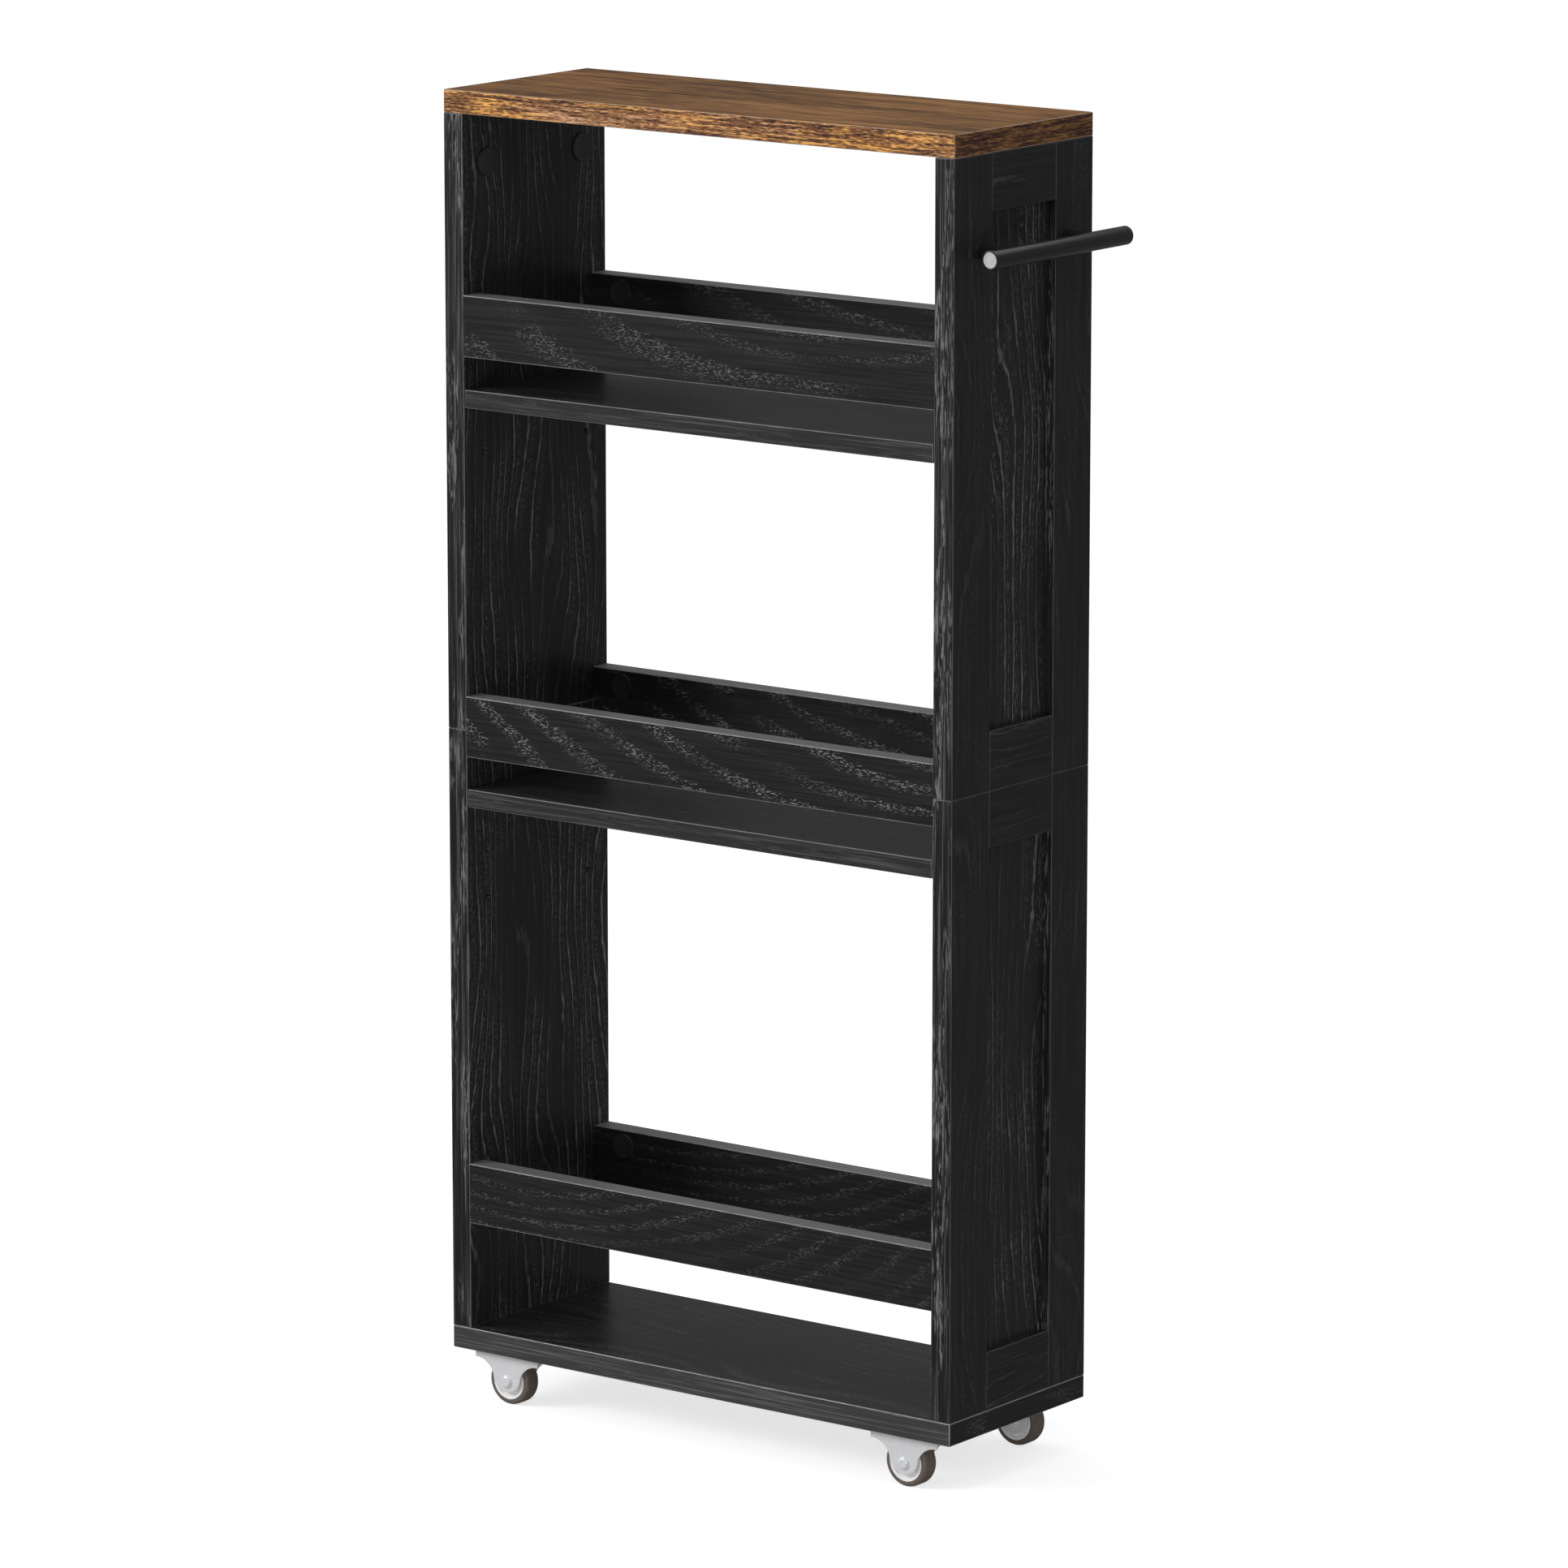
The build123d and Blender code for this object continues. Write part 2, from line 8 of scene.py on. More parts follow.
import bmesh
import bpy
import numpy as np
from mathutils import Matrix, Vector


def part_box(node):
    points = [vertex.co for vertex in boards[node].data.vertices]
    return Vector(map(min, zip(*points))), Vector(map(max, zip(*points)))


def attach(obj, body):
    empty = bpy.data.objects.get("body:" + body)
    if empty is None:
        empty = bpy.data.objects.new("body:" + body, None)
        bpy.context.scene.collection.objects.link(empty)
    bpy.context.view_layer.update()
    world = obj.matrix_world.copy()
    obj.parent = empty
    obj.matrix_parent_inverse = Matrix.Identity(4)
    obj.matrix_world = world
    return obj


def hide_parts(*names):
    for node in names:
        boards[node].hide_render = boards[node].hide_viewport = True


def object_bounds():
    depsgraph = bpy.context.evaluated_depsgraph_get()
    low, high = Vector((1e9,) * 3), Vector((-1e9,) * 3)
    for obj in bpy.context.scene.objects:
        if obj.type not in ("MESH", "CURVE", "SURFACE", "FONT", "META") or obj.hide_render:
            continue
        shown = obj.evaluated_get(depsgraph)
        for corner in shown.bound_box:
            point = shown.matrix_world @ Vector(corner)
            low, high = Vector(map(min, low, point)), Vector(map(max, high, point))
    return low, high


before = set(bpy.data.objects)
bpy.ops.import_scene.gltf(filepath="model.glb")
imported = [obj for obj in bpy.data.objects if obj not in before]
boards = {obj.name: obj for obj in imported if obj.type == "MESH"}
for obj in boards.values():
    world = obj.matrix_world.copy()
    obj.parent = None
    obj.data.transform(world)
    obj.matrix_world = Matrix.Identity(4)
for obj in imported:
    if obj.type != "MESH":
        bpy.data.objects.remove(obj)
cad_low, cad_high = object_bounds()

# ------------------------------------------------------------------------------ base board
# A 15 mm board under the whole cart. Black oak-grain foil is pressed on its faces, with open
# pores that catch the light, and a streaky band of the same foil is glued on each edge. The
# sides stand on it and are screwed up through it.

FOIL_BLACK = (0.0115, 0.0115, 0.0118, 1)
FOIL_GREY = (0.0205, 0.0205, 0.0210, 1)
PORE_GREY = (0.42, 0.42, 0.425, 1)
BAND_GREY = (0.180, 0.180, 0.183, 1)
# Pale grey of the rounded arrises: partly rubbed foil, partly a painted highlight.
ARRIS_WEAR_AND_HIGHLIGHT = (0.32, 0.32, 0.325, 1)


def new_finish(name):
    """An empty finish: its material, its node tree and its shader."""
    finish = bpy.data.materials.new(name)
    finish.use_nodes = True
    return finish, finish.node_tree, finish.node_tree.nodes["Principled BSDF"]


def add(tree, kind, inputs=(), output=0, **settings):
    """A new node's output; inputs, by place or by name, are values or sockets to link from."""
    node = tree.nodes.new("ShaderNode" + kind)
    for name, value in settings.items():
        setattr(node, name, value)
    for key, value in inputs.items() if isinstance(inputs, dict) else enumerate(inputs):
        if isinstance(value, bpy.types.NodeSocket):
            tree.links.new(value, node.inputs[key])
        elif value is not None:
            node.inputs[key].default_value = value
    return node.outputs[output]


def reckon(tree, operation, *values):
    """One sum on numbers."""
    return add(tree, "Math", values, operation=operation)


def ramp(tree, value, low, high, out_low=0.0, out_high=1.0):
    """A number that goes smoothly from out_low to out_high while value goes from low to high."""
    return add(tree, "MapRange", (value, low, high, out_low, out_high), interpolation_type="SMOOTHSTEP")


def tint(tree, amount, first, second):
    """The first colour, mixed by amount with the second."""
    return add(tree, "Mix", {0: amount, 6: first, 7: second}, 2, data_type="RGBA")


def noise(tree, place, scale, detail=2.0, roughness=0.5, distortion=0.0):
    """Smooth noise from 0 to 1 at a place."""
    return add(tree, "TexNoise", {"Vector": place, "Scale": scale, "Detail": detail,
                                  "Roughness": roughness, "Distortion": distortion})


def stretch(tree, place, along, across, deep):
    """The place multiplied by one number in each direction, in cycles per metre."""
    return add(tree, "VectorMath", (place, (along, across, deep)), operation="MULTIPLY")


def join(tree, shader, **sockets):
    """Links each named shader input to a socket, or sets it to a value."""
    for name, value in sockets.items():
        socket = shader.inputs[name.replace("_", " ")]
        if isinstance(value, bpy.types.NodeSocket):
            tree.links.new(value, socket)
        else:
            socket.default_value = value


GRAIN_AXES = {"x": ("X", "Z", "Y"), "shelf": ("X", "Y", "Z"), "y": ("Y", "Z", "X"), "z": ("Z", "Y", "X")}
SEAM_SHIFT = 0.37


def grain_places(tree, grain, seam_height=None):
    """The object's place as (along the grain, across it, into the board), and its normal the same way.

    Above seam_height the pattern is shifted by SEAM_SHIFT, so that two boards that meet there don't
    share their grain. The edge bands on the ends of a lying board have their grain along Y.
    """
    order = GRAIN_AXES[grain]
    coordinates = tree.nodes.new("ShaderNodeTexCoord")
    places = []
    for source in ("Object", "Normal"):
        parts = tree.nodes.new("ShaderNodeSeparateXYZ")
        tree.links.new(coordinates.outputs[source], parts.inputs[0])
        axes = [parts.outputs[axis] for axis in order]
        if source == "Object" and seam_height:
            above = reckon(tree, "GREATER_THAN", parts.outputs["Z"], seam_height)
            axes[1] = reckon(tree, "MULTIPLY_ADD", above, SEAM_SHIFT, axes[1])
        places.append(add(tree, "CombineXYZ", axes))
    if grain == "shelf":
        end_face = squarely(tree, places[1], "X")
        end_place = add(tree, "VectorRotate", {"Vector": places[0], "Angle": math.pi / 2},
                        rotation_type="Z_AXIS")
        places[0] = add(tree, "Mix", {0: end_face, 4: places[0], 5: end_place}, 1, data_type="VECTOR")
    return places


def size_of_normal(tree, normal, axis):
    """How squarely a face looks along one axis, from 0 to 1, either way."""
    parts = tree.nodes.new("ShaderNodeSeparateXYZ")
    tree.links.new(normal, parts.inputs[0])
    return reckon(tree, "ABSOLUTE", parts.outputs[axis])


def squarely(tree, normal, axis):
    """1 on faces that look along one axis, either way, and 0 on the others."""
    return ramp(tree, size_of_normal(tree, normal, axis), 0.90, 0.99)


def arris_of(tree, normal):
    """1 on the rounded arrises, where the face looks along no axis, and 0 on the flat faces."""
    sizes = [size_of_normal(tree, normal, axis) for axis in "XYZ"]
    largest = reckon(tree, "MAXIMUM", reckon(tree, "MAXIMUM", sizes[0], sizes[1]), sizes[2])
    return ramp(tree, largest, 0.995, 0.93)


HEART_SQUEEZE = 0.4


def black_oak(name, grain, ring_spacing=0.012, heart=None, pore_light=1.0, ring_light=0.0, band_light=0.6,
              band_base=0.0, dash_light=1.0, arris_wear_and_highlight=0.6, seam_height=None):
    """Embossed black oak foil. Its growth rings are the contour lines of a height bent by slow noise. The
    height rises straight across the grain or, round a heart at (along, across), as the distance
    hypot(HEART_SQUEEZE * (along - heart), across - heart). Each ring's early wood is a band of short
    pale pores, and a thin pale line may follow each ring. Edge bands have streaks and dashes instead."""
    finish, tree, shader = new_finish(name)
    place, normal = grain_places(tree, grain, seam_height)
    split = tree.nodes.new("ShaderNodeSeparateXYZ")
    tree.links.new(place, split.inputs[0])
    along, across = split.outputs[0], split.outputs[1]

    if heart:
        along = reckon(tree, "MULTIPLY", reckon(tree, "SUBTRACT", along, heart[0]), HEART_SQUEEZE)
        across = reckon(tree, "SUBTRACT", across, heart[1])
        across = reckon(tree, "SQRT", reckon(tree, "ADD", reckon(tree, "MULTIPLY", along, along),
                                             reckon(tree, "MULTIPLY", across, across)))
    bend = noise(tree, stretch(tree, place, 4.2, 15, 15), 1.0, 1.5, 0.45)
    height = reckon(tree, "DIVIDE", across, ring_spacing)
    height = reckon(tree, "MULTIPLY_ADD", bend, 2.0 if heart else 9.0, height)
    ragged = noise(tree, stretch(tree, place, 90, 420, 420), 1.0, 2.0)
    height = reckon(tree, "MULTIPLY_ADD", ragged, 0.40, height)
    ring = reckon(tree, "FRACT", height)
    early_wood = reckon(tree, "MULTIPLY", ramp(tree, ring, 0.0, 0.12), ramp(tree, ring, 0.58, 0.22))
    patch = noise(tree, stretch(tree, place, 9, 26, 26), 1.0, 1.0)
    early_wood = reckon(tree, "MULTIPLY", early_wood, ramp(tree, patch, 0.32, 0.58, 0.05, 1.0))
    pore = ramp(tree, noise(tree, stretch(tree, place, 380, 1550, 1550), 1.0, 1.0, 0.6), 0.55, 0.64)
    pores = reckon(tree, "MULTIPLY", reckon(tree, "MULTIPLY", pore, early_wood), pore_light)

    streak = noise(tree, stretch(tree, place, 14, 700, 700), 1.0, 3.0, 0.6)
    line = reckon(tree, "ABSOLUTE", reckon(tree, "SUBTRACT", ring, 0.82))
    line = reckon(tree, "MULTIPLY", ramp(tree, line, 0.09, 0.02), ramp(tree, streak, 0.35, 0.60, 0.3, 1.0))
    line = reckon(tree, "MULTIPLY", line, ramp(tree, patch, 0.35, 0.60, 0.2, 1.0))
    pores = reckon(tree, "MAXIMUM", pores, reckon(tree, "MULTIPLY", line, ring_light))

    band_line = noise(tree, stretch(tree, place, 12, 800, 800), 1.0, 3.0, 0.65)
    band_line = ramp(tree, band_line, 0.48, 0.70, 0.0, 0.6)
    dash = ramp(tree, noise(tree, stretch(tree, place, 80, 900, 900), 1.0, 2.0, 0.6), 0.51, 0.60)
    cluster = noise(tree, stretch(tree, place, 11, 110, 110), 1.0, 1.0)
    dash = reckon(tree, "MULTIPLY", dash, ramp(tree, cluster, 0.46, 0.56, 0.0, dash_light))
    band_tone = reckon(tree, "MULTIPLY", reckon(tree, "MAXIMUM", band_line, dash), band_light)
    edge_band = squarely(tree, normal, "X" if grain == "y" else "Y")

    colour = tint(tree, ramp(tree, streak, 0.35, 0.70), FOIL_BLACK, FOIL_GREY)
    colour = tint(tree, pores, colour, PORE_GREY)
    band_low = tuple(dark + (light - dark) * band_base for dark, light in zip(FOIL_BLACK, BAND_GREY))
    colour = tint(tree, edge_band, colour, tint(tree, band_tone, band_low, BAND_GREY))
    # Painted highlight, partly real wear: the rounded arrises are lightened towards a pale grey, partly as
    # rubbed foil and partly standing in for the light they catch.
    wear_and_highlight = noise(tree, stretch(tree, place, 60, 60, 60), 1.0, 3.0, 0.6)
    wear_and_highlight = ramp(tree, wear_and_highlight, 0.25, 0.75, 0.6 * arris_wear_and_highlight, 1.3 * arris_wear_and_highlight)
    colour = tint(tree, reckon(tree, "MULTIPLY", arris_of(tree, normal), wear_and_highlight), colour, ARRIS_WEAR_AND_HIGHLIGHT)

    relief = reckon(tree, "SUBTRACT", reckon(tree, "MULTIPLY", streak, 0.35), pores)
    bump = add(tree, "Bump", {"Strength": 0.35, "Distance": 0.00012, "Height": relief})
    rough = reckon(tree, "MULTIPLY_ADD", streak, 0.20, 0.24)
    join(tree, shader, Base_Color=colour, Roughness=rough, Normal=bump, Specular_IOR_Level=0.25)
    return finish


def finish_nodes(finish, *names):
    """Gives CAD nodes, which are right as they are, their finish."""
    for name in names:
        mesh = boards[name].data
        mesh.materials.clear()
        mesh.materials.append(finish)


base_foil = black_oak("base_board_foil", "shelf", pore_light=0.25, band_light=0.95, band_base=0.20,
                      dash_light=0.15, arris_wear_and_highlight=0.75)
finish_nodes(base_foil, "base_panel")

# ------------------------------------------------------------------------------ sides
# Each side is two stacked halves: a 9 mm inner board with its grain upright, and stiles and cross
# strips of 6 mm board glued on outside it as a frame, so that a sunk panel is left in the middle.

seam_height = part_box("left_upper_board")[0].z
side_foil = black_oak("side_board_foil", "z", 0.009, pore_light=0.20, ring_light=0.34, band_light=0.85,
                      arris_wear_and_highlight=0.3, seam_height=seam_height)
stile_foil = black_oak("stile_foil", "z", 0.015, pore_light=0.05, ring_light=0.05, arris_wear_and_highlight=0.16,
                       seam_height=seam_height)
strip_foil = black_oak("cross_strip_foil", "y", 0.012, pore_light=0.03, ring_light=0.08, arris_wear_and_highlight=0.12)
for side in ("left", "right"):
    for half in ("lower", "upper"):
        finish_nodes(side_foil, f"{side}_{half}_board")
        finish_nodes(stile_foil, f"{side}_{half}_front_stile", f"{side}_{half}_rear_stile")
        finish_nodes(strip_foil, f"{side}_{half}_top_strip", f"{side}_{half}_bottom_strip")

# ------------------------------------------------------------------------------ guard rails
# Six 15 mm rails. Each is held by a cam and a dowel at either end. The foil's boldest figure, arcs
# of pores round a heart beyond the rail's end, is on the middle pair; the others are quieter.

HEART_ABOVE_RAIL = 0.05
for tier, ring_spacing, heart_side, pore_light in (("lower", 0.010, -0.9, 0.18),
                                                   ("middle", 0.0165, 1, 0.46),
                                                   ("upper", 0.022, 0.4, 0.26)):
    guard_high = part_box(f"{tier}_front_guard")[1]
    heart = (guard_high.x * heart_side, guard_high.z + HEART_ABOVE_RAIL)
    guard_foil = black_oak(f"{tier}_guard_foil", "x", ring_spacing, heart, pore_light, band_base=0.85,
                           arris_wear_and_highlight=0.7)
    finish_nodes(guard_foil, f"{tier}_front_guard", f"{tier}_rear_guard")

# ------------------------------------------------------------------------------ adjustable shelves
# Two loose 12 mm shelves, foiled like the base. Grooves under their ends drop over steel pins
# that are pushed into the sides; each pin is turned, with a rounded tip and a fine collar line.

shelf_foil = black_oak("shelf_foil", "shelf", pore_light=0.2, band_base=0.08, dash_light=0.2,
                       arris_wear_and_highlight=0.35)
finish_nodes(shelf_foil, "middle_shelf", "upper_shelf")


def rounded(corners, radii, steps=5):
    """A profile through the corners, each swapped for a curve that leaves and meets its two sides at
    the corner's radius: a quadratic curve (1-t)^2 A + 2t(1-t) C + t^2 B about corner C."""
    corners = np.asarray(corners, float)
    t = np.linspace(0, 1, steps)[:, None]
    points = []
    for place, (corner, radius) in enumerate(zip(corners, radii)):
        if not radius:
            points.append(corner[None])
            continue
        before, after = corners[place - 1], corners[(place + 1) % len(corners)]
        start = corner + (before - corner) / np.linalg.norm(before - corner) * radius
        end = corner + (after - corner) / np.linalg.norm(after - corner) * radius
        points.append((1 - t) ** 2 * start + 2 * t * (1 - t) * corner + t ** 2 * end)
    return np.concatenate(points)


def turned(profile, centre, axis, turns=48):
    """A turned surface: profile point (r, h) goes to centre + h * axis + r * (cos a * u + sin a * v),
    for every angle a, where u and v are square to the axis."""
    axis = np.asarray(axis, float)
    first = np.roll(axis, 1)
    second = np.cross(axis, first)
    angle = np.linspace(0, 2 * np.pi, turns, endpoint=False)
    ring = np.cos(angle)[:, None] * first + np.sin(angle)[:, None] * second
    radius, height = profile[:, 0, None, None], profile[:, 1, None, None]
    return np.asarray(centre) + height * axis + radius * ring


SHARP_ANGLE = math.radians(40)


def piece(name, grids, finish, body, replaces, loop=False):
    """A piece made of grids of points. Each grid's neighbours are joined by four-sided faces, round its
    second direction and, for a loop, round its first too; equal points are merged, which closes poles."""
    corners, faces, count = [], [], 0
    for grid in grids:
        rows, columns, _ = grid.shape
        index = count + np.arange(rows * columns).reshape(rows, columns)
        index = np.concatenate([index, index[:, :1]], axis=1)
        if loop:
            index = np.concatenate([index, index[:1]], axis=0)
        corners.append(grid.reshape(-1, 3))
        around = [index[:-1, :-1], index[:-1, 1:], index[1:, 1:], index[1:, :-1]]
        faces.append(np.stack(around, -1).reshape(-1, 4))
        count += rows * columns
    mesh = bpy.data.meshes.new(name)
    mesh.from_pydata(np.concatenate(corners).tolist(), [], np.concatenate(faces).tolist())
    settle(name, mesh, finish, body, replaces)


def settle(name, mesh, finish, body, replaces):
    """Closes and smooths a mesh, gives it its finish, and puts it on its body in place of CAD nodes."""
    work = bmesh.new()
    work.from_mesh(mesh)
    bmesh.ops.remove_doubles(work, verts=work.verts, dist=1e-7)
    bmesh.ops.recalc_face_normals(work, faces=work.faces)
    work.to_mesh(mesh)
    work.free()
    mesh.polygons.foreach_set("use_smooth", np.ones(len(mesh.polygons), bool))
    mesh.set_sharp_from_angle(angle=SHARP_ANGLE)
    mesh.materials.append(finish)
    made = bpy.data.objects.new(name, mesh)
    bpy.context.scene.collection.objects.link(made)
    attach(made, body)
    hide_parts(*replaces)


def plated_steel(name, colour, roughness, metallic=0.85):
    """Bright zinc plate on steel: a light metal whose gloss is broken by a fine spangle and a faint
    brushing along Y."""
    finish, tree, shader = new_finish(name)
    place = add(tree, "TexCoord", output=3)
    spangle = noise(tree, place, 420, 3.0, 0.6)
    brush = noise(tree, stretch(tree, place, 2600, 60, 2600), 1.0, 2.0)
    mottle = noise(tree, place, 90, 2.0)
    shade = reckon(tree, "MULTIPLY_ADD", mottle, 0.10, 0.90)
    dark = tuple(channel * 0.86 for channel in colour[:3]) + (1,)
    join(tree, shader, Base_Color=tint(tree, reckon(tree, "MULTIPLY", spangle, shade), colour, dark),
         Metallic=metallic, Roughness=reckon(tree, "MULTIPLY_ADD", spangle, 0.18, roughness),
         Normal=add(tree, "Bump", {"Strength": 0.12, "Distance": 0.00003, "Height": brush}))
    return finish


PIN_RADIUS, PIN_TIP_ROUND, PIN_REACH = 0.00245, 0.0009, 0.009
COLLAR_WIDTH, COLLAR_DEPTH, COLLAR_PAST_FACE = 0.0006, 0.06, 0.0005
pin_steel = plated_steel("pin_steel", (0.62, 0.63, 0.65, 1), 0.25)
for shelf in ("middle", "upper"):
    node = f"{shelf}_shelf_pins"
    low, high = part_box(node)
    inner_left, inner_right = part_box("left_upper_board")[1].x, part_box("right_upper_board")[0].x
    height = (low.z + high.z) / 2
    reach = ((low.x, inner_left + PIN_REACH, inner_left + COLLAR_PAST_FACE),
             (inner_right - PIN_REACH, high.x, inner_right - COLLAR_PAST_FACE))
    grids = []
    for start, end, collar in reach:
        collar, end = collar - start, end - start
        profile = rounded([(0, 0), (PIN_RADIUS, 0), (PIN_RADIUS, collar),
                           (PIN_RADIUS * (1 - COLLAR_DEPTH), collar + COLLAR_WIDTH / 2),
                           (PIN_RADIUS, collar + COLLAR_WIDTH), (PIN_RADIUS, end), (0, end)],
                          [0, PIN_TIP_ROUND, 0, 0, 0, PIN_TIP_ROUND, 0])
        for y in (low.y + PIN_RADIUS, high.y - PIN_RADIUS):
            grids.append(turned(profile, (start, y, height), (1, 0, 0), 28))
    piece(f"{shelf}_pins_turned", grids, pin_steel, "frame", (node,))

# ------------------------------------------------------------------------------ top board
# A 15 mm board in a warm, worn-looking brown wood print: quiet on its face, and on its edge bands
# full of short golden and near-black flecks, with the bands on its two ends painted darker as shade.
# Its arrises carry a thin pale line, partly scraped wear and partly a painted highlight.

FACE_DARK = (0.050, 0.021, 0.007, 1)
FACE_BROWN = (0.165, 0.074, 0.022, 1)
FACE_LIGHT = (0.285, 0.138, 0.044, 1)
BAND_DARK = (0.040, 0.018, 0.016, 1)
BAND_BROWN = (0.220, 0.095, 0.036, 1)
BAND_GOLD = (0.80, 0.40, 0.10, 1)
BAND_ROSE = (0.62, 0.35, 0.20, 1)
# Pale brown of the arrises: partly scraped wear, partly a painted highlight.
TOP_ARRIS_WEAR_AND_HIGHLIGHT = (0.40, 0.28, 0.19, 1)


def rustic_print(name):
    """The brown wood print: two sizes of long streaks, sorted into dark, brown and light."""
    finish, tree, shader = new_finish(name)
    place, normal = grain_places(tree, "shelf")
    end_face, flat_face = squarely(tree, normal, "X"), squarely(tree, normal, "Z")
    long_streak = noise(tree, stretch(tree, place, 9, 120, 120), 1.0, 4.0, 0.68, 0.3)
    fine_streak = noise(tree, stretch(tree, place, 45, 700, 700), 1.0, 2.0, 0.55)
    cloud = noise(tree, stretch(tree, place, 5, 14, 14), 1.0, 2.0)
    tone = reckon(tree, "MULTIPLY_ADD", fine_streak, 0.45, reckon(tree, "MULTIPLY", long_streak, 0.55))
    tone = reckon(tree, "MULTIPLY_ADD", cloud, 0.25, tone)
    face = tint(tree, ramp(tree, tone, 0.52, 0.63), FACE_DARK, FACE_BROWN)
    face = tint(tree, ramp(tree, tone, 0.62, 0.74), face, FACE_LIGHT)

    dash = noise(tree, stretch(tree, place, 34, 640, 640), 1.0, 3.0, 0.6)
    fleck = noise(tree, stretch(tree, place, 190, 1500, 1500), 1.0, 1.5, 0.6)
    fleck_tone = reckon(tree, "MULTIPLY_ADD", fleck, 0.45, reckon(tree, "MULTIPLY", dash, 0.55))
    blush = noise(tree, stretch(tree, place, 7, 40, 40), 1.0, 1.0)
    gold = tint(tree, ramp(tree, blush, 0.42, 0.60), BAND_GOLD, BAND_ROSE)
    band = tint(tree, ramp(tree, fleck_tone, 0.41, 0.48), BAND_DARK, BAND_BROWN)
    band = tint(tree, ramp(tree, fleck_tone, 0.49, 0.60), band, gold)
    # Painted shade: the bands on the board's two ends are darkened towards near-black, as if in shadow.
    band = tint(tree, reckon(tree, "MULTIPLY", end_face, 0.74), band, BAND_DARK)

    colour = tint(tree, flat_face, band, face)
    # Painted highlight, partly real wear: the arrises are lightened to a pale brown line, partly scraped
    # and partly standing in for the light they catch.
    wear_and_highlight = noise(tree, place, 130, 3.0, 0.6)
    arris = reckon(tree, "MULTIPLY", arris_of(tree, normal), ramp(tree, wear_and_highlight, 0.25, 0.70, 0.30, 0.95))
    colour = tint(tree, arris, colour, TOP_ARRIS_WEAR_AND_HIGHLIGHT)
    bump = add(tree, "Bump", {"Strength": 0.30, "Distance": 0.00010, "Height": tone})
    join(tree, shader, Base_Color=colour, Roughness=reckon(tree, "MULTIPLY_ADD", fine_streak, 0.20, 0.50),
         Normal=bump, Specular_IOR_Level=0.15)
    return finish


finish_nodes(rustic_print("rustic_top_print"), "top_panel")

# ------------------------------------------------------------------------------ cams, bolts, dowels
# Cast zinc cams sit in round pockets and draw steel bolts tight; beech dowels keep the boards in
# line. They are hidden, and the cams are covered by thin black plastic caps pressed into them.


def beech(name):
    """Plain beech: pale, with fine flecks across a straight grain."""
    finish, tree, shader = new_finish(name)
    place = add(tree, "TexCoord", output=3)
    streak = noise(tree, stretch(tree, place, 900, 900, 60), 1.0, 3.0, 0.6)
    join(tree, shader, Base_Color=tint(tree, streak, (0.66, 0.46, 0.28, 1), (0.50, 0.33, 0.19, 1)),
         Roughness=reckon(tree, "MULTIPLY_ADD", streak, 0.2, 0.5),
         Normal=add(tree, "Bump", {"Strength": 0.3, "Distance": 0.0001, "Height": streak}))
    return finish


finish_nodes(plated_steel("cast_zinc", (0.52, 0.52, 0.53, 1), 0.42), "cam_locks")
finish_nodes(plated_steel("bolt_steel", (0.60, 0.61, 0.63, 1), 0.28), "cam_bolts")
finish_nodes(beech("beech"), "wooden_dowels")


def moulded(name, colour, roughness, grain_depth=0.00004, specular=0.4):
    """Moulded plastic: one colour with a little cloudiness, and a fine spark-eroded grain."""
    finish, tree, shader = new_finish(name)
    place = add(tree, "TexCoord", output=3)
    cloud = noise(tree, place, 160, 2.0)
    grain = noise(tree, place, 2400, 2.0)
    other = tuple(channel * 0.88 for channel in colour[:3]) + (1,)
    join(tree, shader, Base_Color=tint(tree, cloud, colour, other),
         Roughness=reckon(tree, "MULTIPLY_ADD", cloud, 0.12, roughness),
         Specular_IOR_Level=specular,
         Normal=add(tree, "Bump", {"Strength": 0.25, "Distance": grain_depth, "Height": grain}))
    return finish


CAP_THICKNESS, CAP_DISH, CAP_LIP_WIDTH, CAP_LIP_SLOPE = 0.0012, 0.0002, 0.0014, 0.0006
CAP_PEG_LENGTH, CAP_PEG_RADIUS = 0.003, 0.0023
GUARD_CAP_RADIUS, GUARD_CAM_RISE = 0.0085, 0.009
cap_plastic = moulded("cap_plastic", (0.024, 0.024, 0.026, 1), 0.34)


def cap_profile(radius):
    """A thin cap: a flat back with its peg, a rounded rim, and a face dished inside a fine lip."""
    lip = radius - CAP_LIP_WIDTH
    dish = CAP_THICKNESS - CAP_DISH
    return rounded([(0, -CAP_PEG_LENGTH), (CAP_PEG_RADIUS, -CAP_PEG_LENGTH), (CAP_PEG_RADIUS, 0),
                    (radius, 0), (radius, CAP_THICKNESS), (lip, CAP_THICKNESS),
                    (lip - CAP_LIP_SLOPE, dish), (0, dish)],
                   [0, 0.0004, 0, 0.0003, 0.0006, 0, 0, 0])


low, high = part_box("cam_caps")
radius = (high.z - low.z) / 2
grids = [turned(cap_profile(radius), (x, y, (low.z + high.z) / 2), (direction, 0, 0), 56)
         for x, direction in ((low.x + CAP_PEG_LENGTH, 1), (high.x - CAP_PEG_LENGTH, -1))
         for y in (low.y + radius, high.y - radius)]
piece("side_cam_caps", grids, cap_plastic, "frame", ("cam_caps",))

